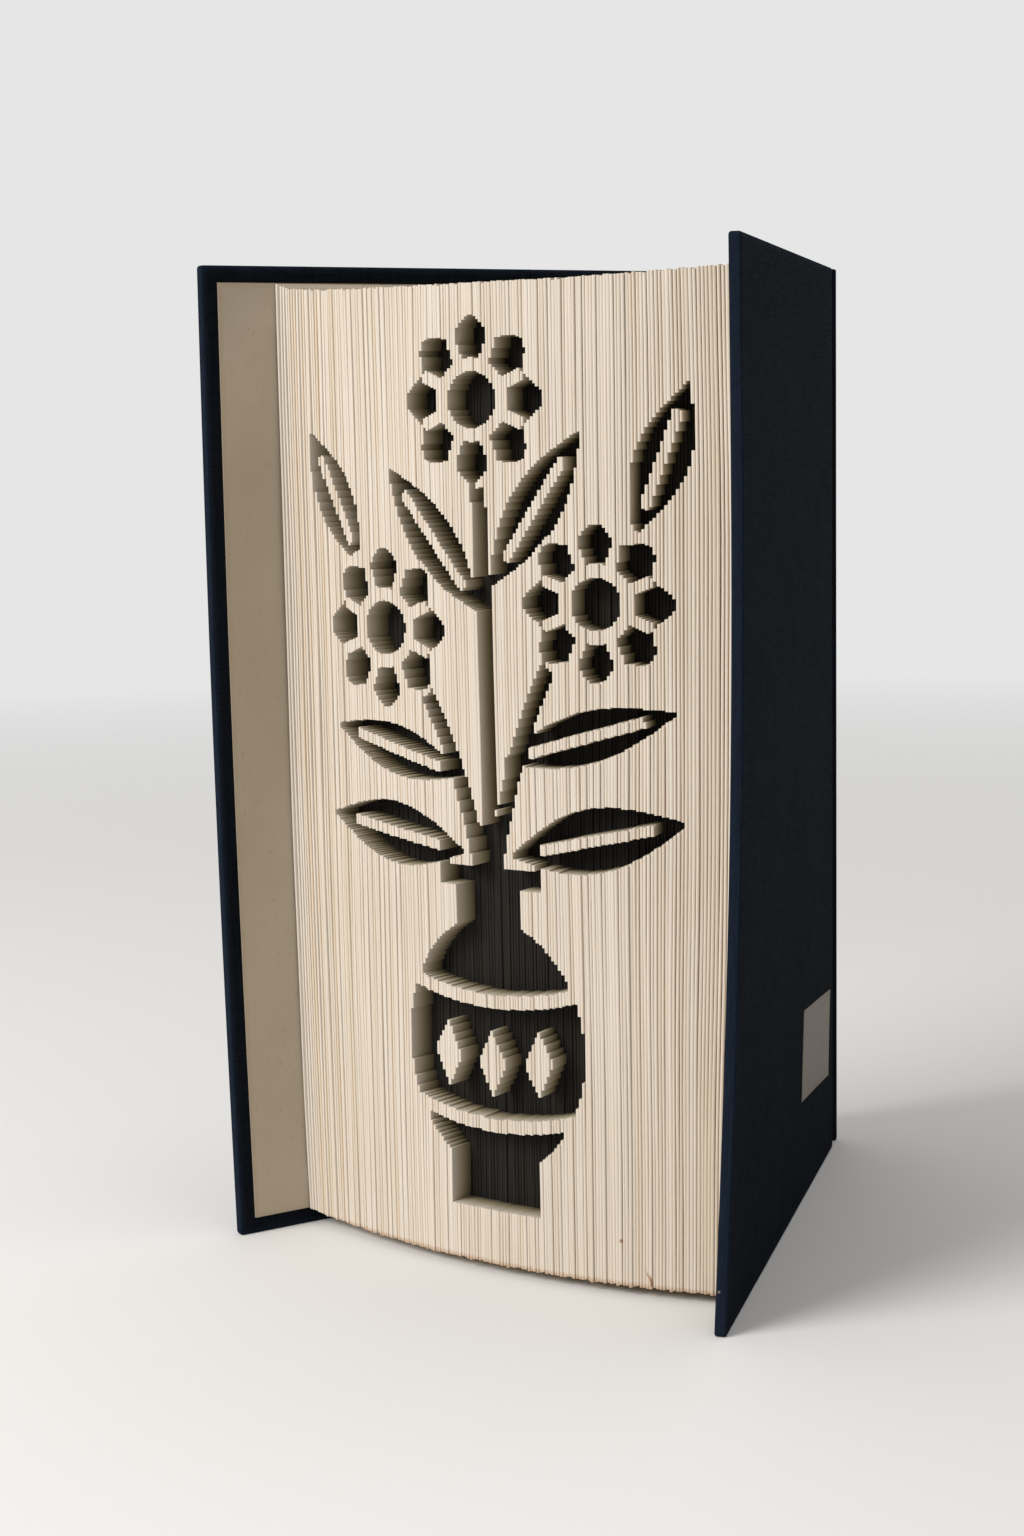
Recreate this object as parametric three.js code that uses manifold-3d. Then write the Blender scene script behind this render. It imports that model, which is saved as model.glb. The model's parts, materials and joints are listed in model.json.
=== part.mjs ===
import * as THREE from 'three';
import { mergeVertices } from 'three/addons/utils/BufferGeometryUtils.js';
import Module from 'manifold-3d';

const wasm = await Module();
wasm.setup();

// A cloth-bound hardback that stands upright with its leaves fanned out.
// Millimetres, +Z up. The right cover points along -Y, with its outer face towards +X.

// Case
const coverHeight = 240;
const coverDepth = 155.9;            // fore-edge to the arris of the spine
const caseWidth = 30.8;              // across both covers when the book is shut
const clothThickness = 0.3;
const boardThickness = 1.8;
const turnInWidth = 15;              // cloth folded over onto the inside of a board
const coverEdgeRadius = 0.7;
const leftOpening = 43.1;            // degrees that a cover stands open
const rightOpening = 0;

// How the covers have warped outwards, at the head and at mid height of the fore-edge
const rightLean = 4.9;
const rightBow = 2;
const leftLean = 3.2;
const leftBow = 2.2;
const warpStep = 30;                 // longest edge of a warped face

// Joints between the covers and the spine
const jointWidth = 8;                // arris of the spine to the edge of a board
const jointDepth = 0.8;              // how far the cloth is pressed in
const jointSlope = 1;
const hingeInset = 4.3;              // arris of the spine to the line that bends
const hingeSplit = 0.25;             // cloth left out on each side of that line, on its inner face
const hingeBevel = 0.5;              // more is left out on the outer face, which folds shut
const shoulderWidth = 1.4;

// Spine
const spineCrown = 3;
const inlayThickness = 0.8;
const inlayWidth = 26;
const liningThickness = 0.5;
const liningMargin = 12;             // the lining stops short of head and tail by this
const hollowBack = 0.6;

// Papers
const pastedownThickness = 0.2;
const pastedownBorder = 3.5;         // cloth left showing round a pastedown
const labelWidth = 45;
const labelHeight = 23.5;
const labelThickness = 0.15;
const labelTilt = -6;
const labelFromForeEdge = 118;
const labelFromTail = 37;

// Leaves
const pageHeight = 230.6;
const tailSquare = 2.4;              // the leaves end this far above the tail of the covers
const leafLength = 133.6;            // free length from the sewn back to the folded edge
const sewnDepth = 3.5;               // the sewn back reaches this far in from the arris
const columnCount = 76;              // each column is a pair of folded leaves
const pleatDepth = 0.5;              // every second line between columns lies this far back
const reliefDepth = 6.5;             // depth of the cut and inked design
const bandHeight = 1.6;
const bandThickness = 1.5;
const bandMargin = 0.6;

// Clearances
const seat = 0.2;                    // between layers that are glued together
const leafClearance = 0.35;          // between the outer leaves and the pastedowns

// The cut design: a vase with three blossoms, measured from the middle of the leaves' front.
// u runs to the right along the curved front and v runs up.
const vase = {
  u: 2, v: -62, halfWidth: 25, halfHeight: 31,
  footDrop: 40, footHalfWidth: 13, neckRise: 43, neckHalfWidth: 9, lipHeight: 5, lipHalfWidth: 14,
};
const vaseLines = { upper: 15, lower: -15, sag: 4, width: 3.2 };
const lozenge = { pitch: 13, halfWidth: 4, halfHeight: 8 };
const blossoms = [
  { u: -28, v: 36, radius: 19 },
  { u: 31, v: 43, radius: 18 },
  { u: 0, v: 89, radius: 19 },
];
const petalCount = 8;
const petalDip = 0.1;
const petalLine = 2.6;
const ringRadius = 0.42;
const ringWidth = 3;
const sprayLeaves = [
  { from: [-4, -16], to: [-48, -10], halfWidth: 7.5 },
  { from: [8, -16], to: [52, -6], halfWidth: 7.5 },
  { from: [-4, 2], to: [-46, 12], halfWidth: 6 },
  { from: [6, 6], to: [50, 19], halfWidth: 6 },
  { from: [2, 40], to: [-26, 74], halfWidth: 6.5 },
  { from: [4, 46], to: [28, 82], halfWidth: 6.5 },
  { from: [-36, 50], to: [-52, 82], halfWidth: 6 },
  { from: [40, 58], to: [52, 92], halfWidth: 6 },
];
const leafRib = 2.4;
const stems = [
  { from: [0, -20], bend: [-6, 12], to: [-22, 30] },
  { from: [4, -20], bend: [10, 14], to: [24, 36] },
  { from: [2, -20], bend: [4, 30], to: [1, 76] },
];
const stemWidth = 4.2;
const scanStep = 2;
const shortestCut = 2;

// Values worked out from the sizes above
const coverThickness = 2 * clothThickness + 2 * seat + boardThickness;
const pastedownDepth = coverThickness + seat + pastedownThickness;
const halfCase = caseWidth / 2;
const hingeX = halfCase - jointDepth - clothThickness / 2;
const spineRadius = (halfCase ** 2 + spineCrown ** 2) / (2 * spineCrown);
const spineCentreY = spineCrown - spineRadius;
const spineThickness = 2 * clothThickness + 2 * seat + inlayThickness;
const liningRadius = spineRadius - spineThickness - hollowBack;
const backRadius = liningRadius - liningThickness - seat;
const blockHalfWidth = halfCase - pastedownDepth - leafClearance;
const pageTop = tailSquare + pageHeight;
const pageMiddle = tailSquare + pageHeight / 2;

const radians = THREE.MathUtils.degToRad;

// Solids from three.js geometry, joined and cut
function solid(geometry) {
  geometry.deleteAttribute('normal');
  geometry.deleteAttribute('uv');
  const merged = mergeVertices(geometry, 1e-5);
  return new wasm.Manifold(new wasm.Mesh({
    numProp: 3,
    vertProperties: new Float32Array(merged.attributes.position.array),
    triVerts: new Uint32Array(merged.index.array),
  }));
}

function geometryOf(manifold) {
  const mesh = manifold.getMesh();
  const geometry = new THREE.BufferGeometry();
  geometry.setAttribute('position', new THREE.BufferAttribute(mesh.vertProperties, 3));
  geometry.setIndex(new THREE.BufferAttribute(mesh.triVerts, 1));
  geometry.computeVertexNormals();
  return geometry;
}

// A plan outline, given as [x, y] points, raised from one height to another
function raised(points, bottom, top) {
  const shape = new THREE.Shape(points.map(([x, y]) => new THREE.Vector2(x, y)));
  const geometry = new THREE.ExtrudeGeometry(shape, { depth: top - bottom, bevelEnabled: false });
  geometry.translate(0, 0, bottom);
  return geometry;
}

function rectangle(x0, x1, y0, y1) {
  return [[Math.min(x0, x1), y0], [Math.max(x0, x1), y0], [Math.max(x0, x1), y1], [Math.min(x0, x1), y1]];
}

// A strip of even thickness in plan, laid on the left of a line of points
function ribbon(points, thickness) {
  const inner = points.map((point, index) => {
    const before = points[Math.max(index - 1, 0)];
    const after = points[Math.min(index + 1, points.length - 1)];
    const [inX, inY] = unit(point[0] - before[0], point[1] - before[1]);
    const [outX, outY] = unit(after[0] - point[0], after[1] - point[1]);
    const [x, y] = unit(inX + outX, inY + outY);
    const mitre = thickness / Math.max(x * (inX || outX) + y * (inY || outY), 0.5);
    return [point[0] - y * mitre, point[1] + x * mitre];
  });
  return points.concat(inner.reverse());
}

function unit(x, y) {
  const length = Math.hypot(x, y) || 1;
  return [x / length, y / length];
}

// Points on the spine's round, from one x to another, at a given radius
function spineArc(radius, fromX, toX, steps) {
  const points = [];
  for (let step = 0; step <= steps; step += 1) {
    const x = fromX + ((toX - fromX) * step) / steps;
    points.push([x, spineCentreY + Math.sqrt(radius ** 2 - x ** 2)]);
  }
  return points;
}

// Covers, drawn shut: side is 1 for the right cover and -1 for the left one
function coverOutline(side) {
  const outer = side * halfCase;
  const inner = side * (halfCase - coverThickness);
  const points = [[outer, -jointWidth]];
  for (const corner of [{ x: outer, towards: side }, { x: inner, towards: -side }]) {
    const centreX = corner.x - corner.towards * coverEdgeRadius;
    const centreY = coverEdgeRadius - coverDepth;
    for (let step = 0; step <= 3; step += 1) {
      const angle = (Math.PI / 2) * (corner.x === outer ? step / 3 : 1 - step / 3);
      points.push([
        centreX + corner.towards * coverEdgeRadius * Math.cos(angle),
        centreY - coverEdgeRadius * Math.sin(angle),
      ]);
    }
  }
  points.push([inner, -jointWidth]);
  return points;
}

function coverCloth(side) {
  const past = 1;
  const outer = halfCase;
  const inner = halfCase - coverThickness;
  const cavity = rectangle(
    side * (outer - clothThickness), side * (inner + clothThickness),
    clothThickness - coverDepth, past - jointWidth,
  );
  const window = rectangle(
    side * (inner - past), side * (inner + clothThickness + seat / 2),
    turnInWidth - coverDepth, past - jointWidth,
  );
  const sunk = outer - jointDepth;
  const strip = [
    [side * sunk, -hingeInset - hingeSplit - hingeBevel],
    [side * sunk, jointSlope - jointWidth],
    [side * outer, -jointWidth],
    [side * outer, -jointWidth - past],
    [side * (outer - clothThickness), -jointWidth - past],
    [side * (outer - clothThickness), -jointWidth],
    [side * (sunk - clothThickness), jointSlope - jointWidth],
    [side * (sunk - clothThickness), -hingeInset - hingeSplit],
  ];
  return geometryOf(
    solid(raised(coverOutline(side), 0, coverHeight))
      .subtract(solid(raised(cavity, clothThickness, coverHeight - clothThickness)))
      .subtract(solid(raised(window, turnInWidth, coverHeight - turnInWidth)))
      .add(solid(raised(strip, 0, coverHeight))),
  );
}

function coverBoard(side) {
  const face = halfCase - clothThickness - seat;
  const edge = clothThickness + seat;
  return raised(
    rectangle(side * face, side * (face - boardThickness), edge - coverDepth, -jointWidth - seat),
    edge, coverHeight - edge,
  );
}

function pastedown(side) {
  return raised(
    rectangle(
      side * (halfCase - pastedownDepth + pastedownThickness), side * (halfCase - pastedownDepth),
      pastedownBorder - coverDepth, -jointWidth,
    ),
    pastedownBorder, coverHeight - pastedownBorder,
  );
}

function label() {
  const geometry = new THREE.BoxGeometry(labelThickness, labelWidth, labelHeight);
  geometry.rotateX(radians(labelTilt));
  geometry.translate(halfCase + (seat + labelThickness) / 2, labelFromForeEdge - coverDepth, labelFromTail);
  return geometry;
}

// A piece of a cover, bent as the whole cover has warped
function warped(side, geometry) {
  const lean = side > 0 ? rightLean : leftLean;
  const bow = side > 0 ? rightBow : leftBow;
  const bent = solid(geometry).refineToLength(warpStep).warp((point) => {
    const reach = Math.max((-point[1] - hingeInset) / (coverDepth - hingeInset), 0);
    const rise = point[2] / coverHeight;
    point[0] += side * reach * (lean * rise + bow * Math.sin(Math.PI * rise));
  });
  return geometryOf(bent);
}

// Spine
function spineCloth() {
  const halfBand = inlayWidth / 2 + 2 * seat;
  const shell = spineArc(spineRadius, halfBand, -halfBand, 12);
  const pocket = spineArc(spineRadius - clothThickness, halfBand + 1, -halfBand - 1, 14);
  const opening = spineArc(spineRadius - clothThickness - seat - inlayThickness, halfBand + 1, -halfBand - 1, 14);
  let cloth = solid(raised(ribbon(shell, spineThickness), 0, coverHeight))
    .subtract(solid(raised(
      ribbon(pocket, spineThickness - 2 * clothThickness), clothThickness, coverHeight - clothThickness,
    )))
    .subtract(solid(raised(ribbon(opening, spineThickness), turnInWidth, coverHeight - turnInWidth)));
  const sunk = halfCase - jointDepth;
  const edge = [
    [sunk, hingeSplit - hingeInset],
    [sunk, -shoulderWidth - jointSlope],
    [halfCase, -shoulderWidth],
    [halfCase, -shoulderWidth / 2],
    ...spineArc(spineRadius, halfCase - 0.4, halfBand - 1, 3),
  ];
  const bend = ribbon(edge, clothThickness);
  bend[0] = [sunk, hingeSplit + hingeBevel - hingeInset];
  const mirrored = bend.map(([x, y]) => [-x, y]).reverse();
  cloth = cloth.add(solid(raised(bend, 0, coverHeight)));
  cloth = cloth.add(solid(raised(mirrored, 0, coverHeight)));
  return geometryOf(cloth);
}

function spineInlay() {
  const radius = spineRadius - clothThickness - seat;
  const edge = clothThickness + seat;
  return raised(
    ribbon(spineArc(radius, inlayWidth / 2, -inlayWidth / 2, 12), inlayThickness), edge, coverHeight - edge,
  );
}

function spineLining() {
  const half = blockHalfWidth - seat;
  return raised(
    ribbon(spineArc(liningRadius, half, -half, 10), liningThickness),
    tailSquare + liningMargin, pageTop - liningMargin,
  );
}

// Sewn bands at the head and tail of the leaves' back
function sewnBand(bottom) {
  const half = blockHalfWidth - bandMargin;
  return raised(ribbon(spineArc(backRadius, half, -half, 10), bandThickness), bottom, bottom + bandHeight);
}

// Leaves: rays fan out from the sewn back, each one side of a column
function turned(x, y, side, opening) {
  const angle = side * radians(opening);
  const dx = x - side * hingeX;
  const dy = y + hingeInset;
  return [
    side * hingeX + dx * Math.cos(angle) - dy * Math.sin(angle),
    -hingeInset + dx * Math.sin(angle) + dy * Math.cos(angle),
  ];
}

// Where the outermost leaf leaves the sewn back, lying along the inside of its cover
function outerRoot(side, opening) {
  const face = side * blockHalfWidth;
  const near = turned(face, -hingeInset, side, opening);
  const far = turned(face, -coverDepth, side, opening);
  const share = (-sewnDepth - near[1]) / (far[1] - near[1]);
  return [near[0] + share * (far[0] - near[0]), -sewnDepth];
}

const leftRoot = outerRoot(-1, leftOpening);
const rightRoot = outerRoot(1, rightOpening);

function ray(index) {
  const share = index / columnCount;
  const angle = radians(leftOpening + share * (-rightOpening - leftOpening));
  const rootX = leftRoot[0] + share * (rightRoot[0] - leftRoot[0]);
  return (length) => [rootX - length * Math.sin(angle), -sewnDepth - length * Math.cos(angle)];
}

function rayLength(index) {
  return leafLength - (index % 2) * pleatDepth;
}

const frontLength = radians(leftOpening + rightOpening) * leafLength + (rightRoot[0] - leftRoot[0]);

// The design, as what is cut away at a point of the front
function inLens(u, v, leaf) {
  const du = leaf.to[0] - leaf.from[0];
  const dv = leaf.to[1] - leaf.from[1];
  const length = Math.hypot(du, dv);
  const along = ((u - leaf.from[0]) * du + (v - leaf.from[1]) * dv) / length ** 2;
  const across = Math.abs((v - leaf.from[1]) * du - (u - leaf.from[0]) * dv) / length;
  if (along < 0 || along > 1) return false;
  const onRib = across < leafRib / 2 && along > 0.18 && along < 0.82;
  return across < leaf.halfWidth * Math.sin(Math.PI * along) && !onRib;
}

function inBlossom(u, v, blossom) {
  const reach = Math.hypot(u - blossom.u, v - blossom.v);
  const angle = Math.atan2(v - blossom.v, u - blossom.u);
  const edge = blossom.radius * (1 - petalDip + petalDip * Math.cos(petalCount * angle));
  const ring = blossom.radius * ringRadius;
  const onRing = Math.abs(reach - ring) < ringWidth / 2;
  const acrossLine = reach * Math.abs(Math.cos((petalCount * angle) / 2)) * (2 / petalCount);
  const onLine = acrossLine < petalLine / 2 && reach > ring && reach < blossom.radius * 0.78;
  return reach < edge && !onRing && !onLine;
}

function inVase(u, v) {
  const x = (u - vase.u) / vase.halfWidth;
  const y = v - vase.v;
  const side = Math.abs(u - vase.u);
  const body = x ** 2 + (y / vase.halfHeight) ** 2 < 1;
  const foot = y < 0 && y > -vase.footDrop && side < vase.footHalfWidth;
  const neck = y > 0 && y < vase.neckRise && side < vase.neckHalfWidth;
  const lip = y > vase.neckRise - vase.lipHeight && y < vase.neckRise && side < vase.lipHalfWidth;
  if (!(body || foot || neck || lip)) return false;
  const level = y + vaseLines.sag * (1 - x ** 2);
  const onLine = [vaseLines.upper, vaseLines.lower].some((at) => Math.abs(level - at) < vaseLines.width / 2);
  const shift = u - vase.u - lozenge.pitch * Math.round((u - vase.u) / lozenge.pitch);
  const onLozenge = Math.abs(shift) / lozenge.halfWidth + Math.abs(level) / lozenge.halfHeight < 1;
  return !(onLine || (onLozenge && Math.abs(x) < 0.75));
}

function onStem(u, v, stem) {
  for (let step = 0; step <= 24; step += 1) {
    const t = step / 24;
    const [atU, atV] = [0, 1].map((axis) => (
      (1 - t) ** 2 * stem.from[axis] + 2 * t * (1 - t) * stem.bend[axis] + t ** 2 * stem.to[axis]
    ));
    if (Math.hypot(u - atU, v - atV) < stemWidth / 2) return true;
  }
  return false;
}

function cutAway(u, v) {
  if (inVase(u, v)) return true;
  if (blossoms.some((blossom) => Math.hypot(u - blossom.u, v - blossom.v) < blossom.radius + 1)) {
    return blossoms.some((blossom) => inBlossom(u, v, blossom));
  }
  return sprayLeaves.some((leaf) => inLens(u, v, leaf)) || stems.some((stem) => onStem(u, v, stem));
}

// Heights between which one column is cut back
function cutsOf(index) {
  const u = ((index + 0.5) / columnCount - 0.5) * frontLength;
  const cuts = [];
  let start = null;
  const offset = (index % 2) * (scanStep / 2);      // so that cuts side by side never meet at one corner
  for (let z = tailSquare + offset; z < pageTop; z += scanStep) {
    const inside = cutAway(u, z - pageMiddle);
    if (inside && start === null) start = z;
    if (!inside && start !== null) {
      const previous = cuts[cuts.length - 1];
      if (previous && start - previous[1] < shortestCut) previous[1] = z;
      else if (z - start > shortestCut) cuts.push([start, z]);
      start = null;
    }
  }
  return cuts;
}

function textBlock() {
  const outline = [];
  for (let index = 0; index <= columnCount; index += 1) outline.push(ray(index)(rayLength(index)));
  outline.push(rightRoot, ...spineArc(backRadius, blockHalfWidth, -blockHalfWidth, 10), leftRoot);
  const cutters = [];
  for (let index = 0; index < columnCount; index += 1) {
    const past = leafLength + 2;
    const plan = [
      ray(index)(rayLength(index) - reliefDepth), ray(index)(past),
      ray(index + 1)(past), ray(index + 1)(rayLength(index + 1) - reliefDepth),
    ];
    for (const [bottom, top] of cutsOf(index)) cutters.push(solid(raised(plan, bottom, top)));
  }
  const block = solid(raised(outline, tailSquare, pageTop));
  return geometryOf(block.subtract(wasm.Manifold.union(cutters)));
}

// Materials
const colours = { cloth: 0x14161a, board: 0x8a7a62, paper: 0xd8ccb6, pastedown: 0xb3a38e, label: 0xcfc8bd };

function material(color, roughness) {
  return new THREE.MeshStandardMaterial({ color, roughness, metalness: 0 });
}

function piece(name, geometry, color, roughness) {
  const mesh = new THREE.Mesh(geometry, material(color, roughness));
  mesh.name = name;
  return mesh;
}

// A cover turned open about its joint
function coverGroup(side, opening, meshes) {
  const hinge = new THREE.Group();
  hinge.position.set(side * hingeX, -hingeInset, 0);
  hinge.rotation.z = side * radians(opening);
  for (const mesh of meshes) {
    mesh.position.set(-side * hingeX, hingeInset, 0);
    hinge.add(mesh);
  }
  return hinge;
}

const book = new THREE.Group();
book.add(
  coverGroup(1, rightOpening, [
    piece('right_cover_cloth', warped(1, coverCloth(1)), colours.cloth, 0.8),
    piece('right_cover_board', warped(1, coverBoard(1)), colours.board, 0.9),
    piece('right_pastedown', warped(1, pastedown(1)), colours.pastedown, 0.9),
    piece('label', warped(1, label()), colours.label, 0.7),
  ]),
  coverGroup(-1, leftOpening, [
    piece('left_cover_cloth', warped(-1, coverCloth(-1)), colours.cloth, 0.8),
    piece('left_cover_board', warped(-1, coverBoard(-1)), colours.board, 0.9),
    piece('left_pastedown', warped(-1, pastedown(-1)), colours.pastedown, 0.9),
  ]),
  piece('spine_cloth', spineCloth(), colours.cloth, 0.8),
  piece('spine_inlay', spineInlay(), colours.board, 0.9),
  piece('spine_lining', spineLining(), colours.paper, 0.9),
  piece('head_band', sewnBand(pageTop), colours.paper, 0.8),
  piece('tail_band', sewnBand(tailSquare - bandHeight), colours.paper, 0.8),
  piece('text_block', textBlock(), colours.paper, 0.9),
);

// The origin is the middle of the whole outline's box, on the surface that the book stands on
const box = new THREE.Box3().setFromObject(book);
book.position.set(-(box.min.x + box.max.x) / 2, -(box.min.y + box.max.y) / 2, -box.min.z);

export default book;
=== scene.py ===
import json
import math

import bmesh
import bpy
import numpy as np
from mathutils import Matrix, Vector


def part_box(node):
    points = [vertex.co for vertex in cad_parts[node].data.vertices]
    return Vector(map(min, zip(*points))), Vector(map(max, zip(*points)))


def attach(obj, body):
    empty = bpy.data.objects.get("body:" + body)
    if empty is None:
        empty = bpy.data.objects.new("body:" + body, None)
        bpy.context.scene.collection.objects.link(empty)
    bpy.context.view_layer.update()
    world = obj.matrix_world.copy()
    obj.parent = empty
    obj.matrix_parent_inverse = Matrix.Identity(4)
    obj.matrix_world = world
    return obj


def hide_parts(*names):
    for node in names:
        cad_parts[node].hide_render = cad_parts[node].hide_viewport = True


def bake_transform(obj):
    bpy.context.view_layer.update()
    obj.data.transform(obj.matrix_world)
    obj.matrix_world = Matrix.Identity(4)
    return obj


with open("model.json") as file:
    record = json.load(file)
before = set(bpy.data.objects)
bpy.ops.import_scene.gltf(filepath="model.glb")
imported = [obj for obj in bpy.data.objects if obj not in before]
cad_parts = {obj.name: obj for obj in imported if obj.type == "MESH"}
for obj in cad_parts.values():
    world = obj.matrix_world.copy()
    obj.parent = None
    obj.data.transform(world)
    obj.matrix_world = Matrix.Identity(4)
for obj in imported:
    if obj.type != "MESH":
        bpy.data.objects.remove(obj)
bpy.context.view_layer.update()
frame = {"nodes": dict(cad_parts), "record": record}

# Sizes in millimetres, as in the CAD model
MM = 0.001
SPINE_CROWN = 3.0
SPINE_THICKNESS = 1.8
SPINE_BAND_HALF = 12.8
COVER_THICKNESS = 2.8
JOINT_WIDTH = 8.0
HINGE_INSET = 4.3
SEWN_DEPTH = 3.5
LEAF_LENGTH = 133.6
LEAF_CLEARANCE = 0.35
PASTEDOWN_DEPTH = 3.2
TURN_IN_WIDTH = 15.0
BACK_DEPTH = 1.3                # hollow back, lining and glue
BAND_HEIGHT = 1.6
RELIEF_DEPTH = 6.5
LEFT_OPENING = math.radians(43.1)
LABEL_SIZE = (45.0, 23.5)
LABEL_TILT = math.radians(-6)
LABEL_FROM_FORE_EDGE = 118.0
LABEL_FROM_TAIL = 37.0

# Finer sizes of the covers. The pastedown's border is measured in the photograph, the others are judged
PASTEDOWN_BORDER = 4.1
EDGE_ROUNDING = 0.62
CORNER_RADIUS = 0.8
RUBBED_WIDTH = 1.8              # width of the rubbed rim
GROOVE_DEPTH = 1.08
TURN_IN_STEP = 0.16             # how far the paper sinks past the edge of the turned-in cloth

# A pale speck on the right cover's fore-edge: its depth and height, and its radius in metres
SPECK_PLACE = (2.0, 10.5)
SPECK_RADIUS = 0.00028

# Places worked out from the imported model
spine_low, spine_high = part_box("spine_cloth")
block_low, block_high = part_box("text_block")
right_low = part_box("right_cover_cloth")[0]
CENTRE_X = (spine_low[0] + spine_high[0]) / 2 / MM
ARRIS_Y = spine_high[1] / MM - SPINE_CROWN
HALF_CASE = (spine_high[0] - spine_low[0]) / 2 / MM
COVER_HEIGHT = spine_high[2] / MM
COVER_DEPTH = ARRIS_Y - right_low[1] / MM
PAGE_TAIL = block_low[2] / MM
PAGE_HEAD = block_high[2] / MM
SPINE_RADIUS = (HALF_CASE ** 2 + SPINE_CROWN ** 2) / (2 * SPINE_CROWN)
SPINE_CENTRE_Y = SPINE_CROWN - SPINE_RADIUS
BACK_RADIUS = SPINE_RADIUS - SPINE_THICKNESS - BACK_DEPTH
BLOCK_HALF = HALF_CASE - PASTEDOWN_DEPTH - LEAF_CLEARANCE
hinge_x = {
    side: next(
        joint["pos_m"][0] / MM - CENTRE_X
        for joint in frame["record"]["behaviour"]["joints"]
        if joint["name"] == name
    )
    for side, name in ((1, "right_cover_hinge"), (-1, "left_cover_hinge"))
}
OPENING = {1: 0.0, -1: LEFT_OPENING}

# The covers have warped a little: how far the fore-edge stands out at the head, and at mid height
COVER_LEAN = {1: 4.9, -1: 3.2}
COVER_BOW = {1: 2.0, -1: 2.2}

# The cut design, measured from the middle of the leaves' front
VASE = dict(
    u=2, v=-62, half_width=25, half_height=31,
    foot_drop=40, foot_half=13, neck_rise=43, neck_half=9, lip_height=5, lip_half=14,
)
VASE_LINES = (15, -15)
VASE_SAG = 4
VASE_LINE_WIDTH = 3.2
LOZENGE = dict(pitch=13, half_width=4, half_height=8)
BLOSSOMS = ((-28, 36, 19), (31, 43, 18), (0, 89, 19))
PETAL_COUNT = 8
PETAL_DIP = 0.1
PETAL_LINE = 2.6
RING_RADIUS = 0.42
RING_WIDTH = 3
SPRAY_LEAVES = (
    ((-4, -16), (-48, -10), 7.5),
    ((8, -16), (52, -6), 7.5),
    ((-4, 2), (-46, 12), 6),
    ((6, 6), (50, 19), 6),
    ((2, 40), (-26, 74), 6.5),
    ((4, 46), (28, 82), 6.5),
    ((-36, 50), (-52, 82), 6),
    ((40, 58), (52, 92), 6),
)
LEAF_RIB = 2.4
STEMS = (
    ((0, -20), (-6, 12), (-22, 30)),
    ((4, -20), (10, 14), (24, 36)),
    ((2, -20), (4, 30), (1, 76)),
)
STEM_WIDTH = 4.2

# Folded leaves. Each is straight from its root to a point behind the relief's floor, and then has its nose
LEAF_COUNT = 150
LEAF_SEED = 7
SCAN_STEP = 0.35                # spacing of the heights at which the cut design is looked up
SHORTEST_CUT = 1.2
LEVEL_SPACING = 14.0
LEVEL_MARGIN = 0.8              # no level lies nearer than this to a cut
NOSE_STEPS = 5
NOSE_FIRST = 3                  # the nose's first point in a level of a leaf
NOSE_MARGIN = 0.9
FRONT_MARGIN = 0.35             # the folded edges lie this far behind the solid's front on average
FLOOR_SHARE = 0.97              # width of a leaf on the relief's floor
STRAIGHT_SWAY = 0.95            # share of the fore-edge's sway where the nose begins
BROWN_TAIL = (1.3, 0.3)         # heights above the tail between which the paper turns brown

# Numbers of the leaves' materials: folded front, side, inked floor, and head or tail
FRONT, SIDE, INKED, END = range(4)

# Brown marks near the tail of the leaves, in the same measure as the cut design: three spots, each with its
# radius, and a fine tear
SPOTS = ((36.0, -104.5, 0.45), (30.5, -97.0, 0.25), (49.0, -96.5, 0.2))
TEAR_FROM = (40.8, -107.6)
TEAR_TO = (43.2, -114.2)
TEAR_STEPS = 12

# The outer leaves are less even: how far the first ones reach out and stand clear at head and tail,
# how soon that fades, counted in leaves, and how far the last ones rise at the head
FIRST_REACH = (3.0, 10)
FIRST_HEAD_RISE = (1.5, 20)
FIRST_LEAF_RISE = (1.1, 3)
FIRST_TAIL_RISE = (1.6, 9)
LAST_HEAD_RISE = 1.6
LAST_RISING = 50

# The outer leaves lie against the covers, so they lean out with them: by what share at the fore-edge,
# and how soon that fades, counted in leaves
FIRST_FOLLOW = (0.88, 14)
LAST_FOLLOW = (0.62, 22)

# The photograph's camera, measured in its 1024 by 1536 frame
FRAME_HEIGHT = 1536
FOCAL_PIXELS = 2472.6
CAMERA_FROM_ARRIS = (106.3, -670.5, 202.9)
CAMERA_AZIMUTH = math.radians(16.57)
CAMERA_PITCH = math.radians(8.106)
CAMERA_ROLL = math.radians(-1.12)
SENSOR = 36.0

# Distances in metres between which the floor fades into the background
FLOOR_FADE = (0.4, 1.3)

# Lamps: place, aim, width in metres and power in watts
LAMPS = {
    "window": ((-0.85, -1.0, 0.95), (0, 0, 0.1), 0.9, 22),
    "fill": ((1.1, -0.9, 0.8), (0, 0, 0.12), 1.0, 1.5),
    "above": ((0.1, 0.3, 1.7), (0, 0, 0), 1.6, 10),
}

# Strength of the world as light, and as the background that is seen
WORLD_LIGHT = 0.29
WORLD_SEEN = 0.79


def row(points):
    """Points in millimetres from the foot of the spine's arris line, as metres in the model's frame."""
    points = np.asarray(points, float)
    return (points + np.array((CENTRE_X, ARRIS_Y, 0.0))) * MM


def turned(x, y, side, angle):
    """A point in plan, turned about a cover's joint."""
    dx = x - hinge_x[side]
    dy = y + HINGE_INSET
    cosine = np.cos(side * angle)
    sine = np.sin(side * angle)
    return hinge_x[side] + dx * cosine - dy * sine, -HINGE_INSET + dx * sine + dy * cosine


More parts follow.
